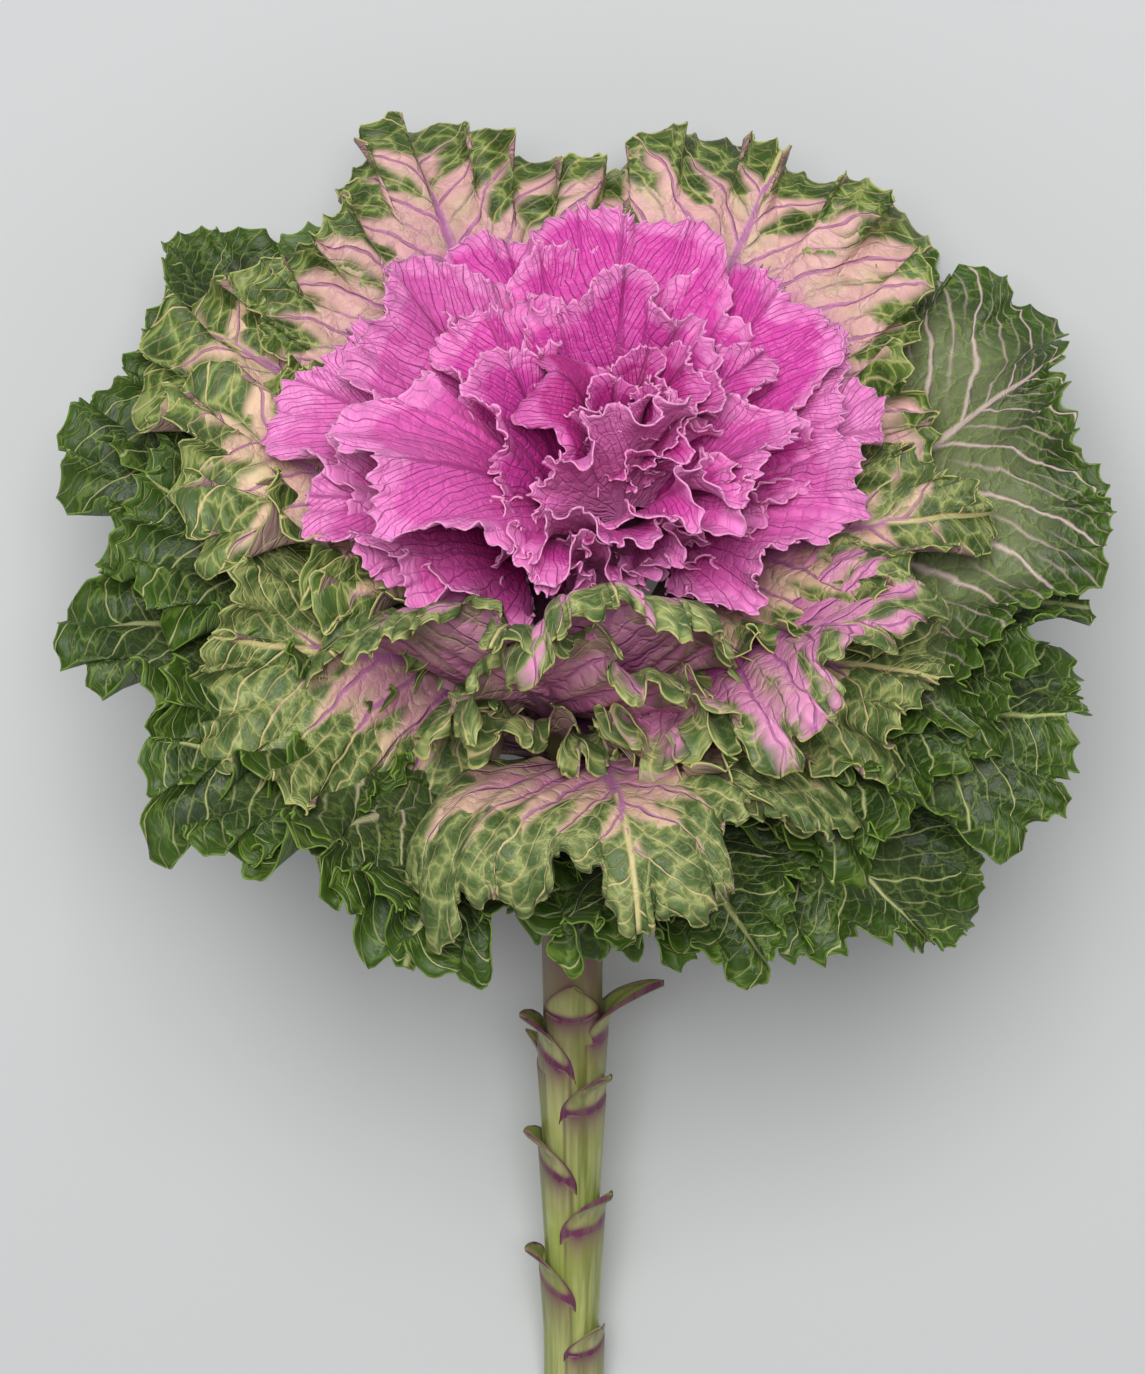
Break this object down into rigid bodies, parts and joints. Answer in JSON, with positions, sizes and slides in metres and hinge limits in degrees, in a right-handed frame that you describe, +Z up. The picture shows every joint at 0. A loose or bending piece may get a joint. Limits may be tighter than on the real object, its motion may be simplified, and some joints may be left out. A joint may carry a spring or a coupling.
{
  "type": "ornamental kale head on a cut stalk",
  "caption": "Cut stalk of ornamental kale with one wide head of ruffled leaves, dark green outside, pink and cream within and magenta at the heart, lying on its back.",
  "frame": {"origin": "on the surface that the plant lies on, under the middle of its bounding box", "axes": "+Y along the stalk from its cut foot towards the head, +X to the head's right, +Z up from the surface"},
  "size_m": [0.2258, 0.3074, 0.1523],
  "materials": {
    "stalk": "pale green waxy stalk flushed purple at its scars, softly glossy",
    "green_leaf": "dark green waxy leaf with pale veins and a thin pale margin",
    "variegated_leaf": "pink and cream leaf with green cells towards its ruffled margin",
    "magenta_leaf": "magenta leaf with darker veins and a pale fringed margin",
    "heart_leaf": "deep magenta young leaf with a lighter curled margin"
  },
  "bodies": {
    "root": {"stem": "stalk", "green_leaves": "green_leaf", "variegated_leaves": "variegated_leaf", "magenta_leaves": "magenta_leaf", "heart_leaves": "heart_leaf"}
  },
  "joints": []
}
